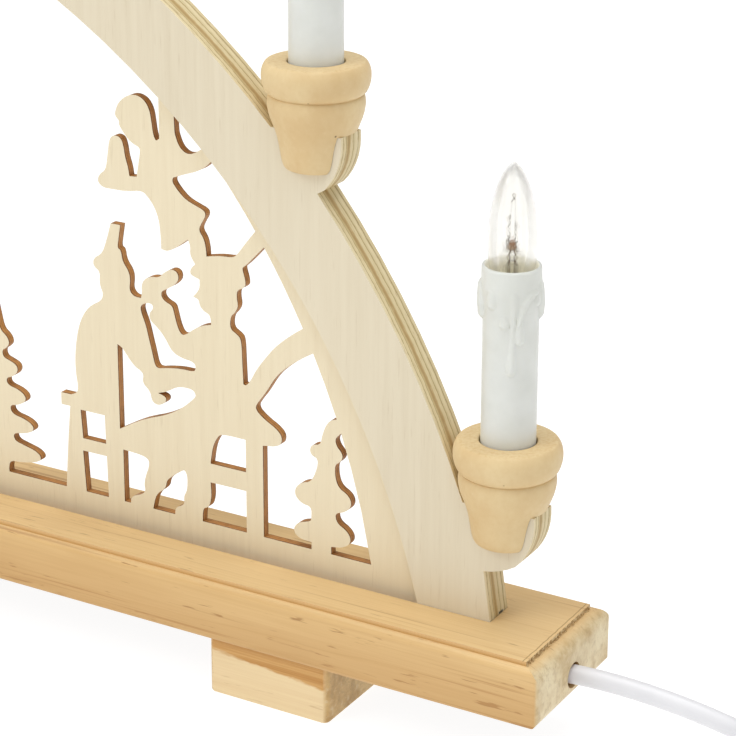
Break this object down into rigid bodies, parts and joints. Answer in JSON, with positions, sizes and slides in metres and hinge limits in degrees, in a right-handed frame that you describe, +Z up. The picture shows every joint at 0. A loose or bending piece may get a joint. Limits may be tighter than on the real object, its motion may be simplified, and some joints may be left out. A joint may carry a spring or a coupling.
{
  "type": "candle arch",
  "caption": "Wooden candle arch with a fretwork scene, electric candles in turned cups on a laminated bow, a moulded base on block feet and a mains lead.",
  "frame": {"origin": "middle of the footprint of the arch on the surface it stands on, without the lead, coil and plug", "axes": "+X along the base board towards the end where the lead comes out, -Y towards the front (the side with the thick ring), +Z up"},
  "size_m": [0.7462, 0.072, 0.3571],
  "materials": {
    "pine": "planed and clear lacquered",
    "hardboard": "smooth dark hardboard",
    "foot_wood": "planed and clear lacquered",
    "screw_steel": "zinc plated",
    "ring_plywood": "sanded plywood face, clear lacquered",
    "band_plywood": "sanded plywood",
    "panel_plywood": "sanded plywood face with browned cut edges",
    "cup_wood": "turned and clear lacquered",
    "sleeve_plastic": "wax-like off-white",
    "holder_plastic": "moulded",
    "lamp_cap": "nickel-washed rolled thread",
    "lamp_glass": "clear blown glass",
    "contact_brass": "stamped",
    "wire_plastic": "insulated wire",
    "block_plastic": "moulded",
    "cord_plastic": "white flexible lead",
    "tie_plastic": "band",
    "plug_plastic": "moulded",
    "pin_metal": "nickel plated"
  },
  "bodies": {
    "arch": {"arch_back_ring": "ring_plywood", "arch_front_ring": "ring_plywood", "arch_wiring": "wire_plastic", "base_board": "pine", "base_cover": "hardboard", "candle_cup_1": "cup_wood", "candle_cup_2": "cup_wood", "candle_cup_3": "cup_wood", "candle_cup_4": "cup_wood", "candle_cup_5": "cup_wood", "candle_cup_6": "cup_wood", "candle_cup_7": "cup_wood", "channel_inner_band": "band_plywood", "channel_outer_bands": "band_plywood", "clamp_screws": "screw_steel", "cord_clamp": "block_plastic", "cord_coil": "cord_plastic", "cord_tail": "cord_plastic", "cord_tie": "tie_plastic", "cover_screws": "screw_steel", "foot_left": "foot_wood", "foot_right": "foot_wood", "foot_screws": "screw_steel", "fretwork_panel": "panel_plywood", "holder_contacts": "contact_brass", "holder_shells": "contact_brass", "lamp_holder_1": "holder_plastic", "lamp_holder_2": "holder_plastic", "lamp_holder_3": "holder_plastic", "lamp_holder_4": "holder_plastic", "lamp_holder_5": "holder_plastic", "lamp_holder_6": "holder_plastic", "lamp_holder_7": "holder_plastic", "mains_cord": "cord_plastic", "mains_plug": "plug_plastic", "plug_pins": "pin_metal", "terminal_block": "block_plastic"},
    "sleeve_1": {"candle_sleeve_1": "sleeve_plastic"},
    "lamp_1": {"lamp_glass_1": "lamp_glass", "lamp_cap_1": "lamp_cap"},
    "sleeve_2": {"candle_sleeve_2": "sleeve_plastic"},
    "lamp_2": {"lamp_glass_2": "lamp_glass", "lamp_cap_2": "lamp_cap"},
    "sleeve_3": {"candle_sleeve_3": "sleeve_plastic"},
    "lamp_3": {"lamp_glass_3": "lamp_glass", "lamp_cap_3": "lamp_cap"},
    "sleeve_4": {"candle_sleeve_4": "sleeve_plastic"},
    "lamp_4": {"lamp_glass_4": "lamp_glass", "lamp_cap_4": "lamp_cap"},
    "sleeve_5": {"candle_sleeve_5": "sleeve_plastic"},
    "lamp_5": {"lamp_glass_5": "lamp_glass", "lamp_cap_5": "lamp_cap"},
    "sleeve_6": {"candle_sleeve_6": "sleeve_plastic"},
    "lamp_6": {"lamp_glass_6": "lamp_glass", "lamp_cap_6": "lamp_cap"},
    "sleeve_7": {"candle_sleeve_7": "sleeve_plastic"},
    "lamp_7": {"lamp_glass_7": "lamp_glass", "lamp_cap_7": "lamp_cap"}
  },
  "joints": [
    {"name": "sleeve_lift_1", "type": "slide", "parent": "arch", "child": "sleeve_1", "axis": [0, 0, 1], "range_m": [0, 0.095]},
    {"name": "sleeve_lift_2", "type": "slide", "parent": "arch", "child": "sleeve_2", "axis": [0, 0, 1], "range_m": [0, 0.095]},
    {"name": "sleeve_lift_3", "type": "slide", "parent": "arch", "child": "sleeve_3", "axis": [0, 0, 1], "range_m": [0, 0.095]},
    {"name": "sleeve_lift_4", "type": "slide", "parent": "arch", "child": "sleeve_4", "axis": [0, 0, 1], "range_m": [0, 0.095]},
    {"name": "sleeve_lift_5", "type": "slide", "parent": "arch", "child": "sleeve_5", "axis": [0, 0, 1], "range_m": [0, 0.095]},
    {"name": "sleeve_lift_6", "type": "slide", "parent": "arch", "child": "sleeve_6", "axis": [0, 0, 1], "range_m": [0, 0.095]},
    {"name": "sleeve_lift_7", "type": "slide", "parent": "arch", "child": "sleeve_7", "axis": [0, 0, 1], "range_m": [0, 0.095]},
    {"name": "lamp_lift_1", "type": "slide", "parent": "arch", "child": "lamp_1", "axis": [0, 0, 1], "range_m": [0, 0.06]},
    {"name": "lamp_lift_2", "type": "slide", "parent": "arch", "child": "lamp_2", "axis": [0, 0, 1], "range_m": [0, 0.06]},
    {"name": "lamp_lift_3", "type": "slide", "parent": "arch", "child": "lamp_3", "axis": [0, 0, 1], "range_m": [0, 0.06]},
    {"name": "lamp_lift_4", "type": "slide", "parent": "arch", "child": "lamp_4", "axis": [0, 0, 1], "range_m": [0, 0.06]},
    {"name": "lamp_lift_5", "type": "slide", "parent": "arch", "child": "lamp_5", "axis": [0, 0, 1], "range_m": [0, 0.06]},
    {"name": "lamp_lift_6", "type": "slide", "parent": "arch", "child": "lamp_6", "axis": [0, 0, 1], "range_m": [0, 0.06]},
    {"name": "lamp_lift_7", "type": "slide", "parent": "arch", "child": "lamp_7", "axis": [0, 0, 1], "range_m": [0, 0.06]}
  ]
}
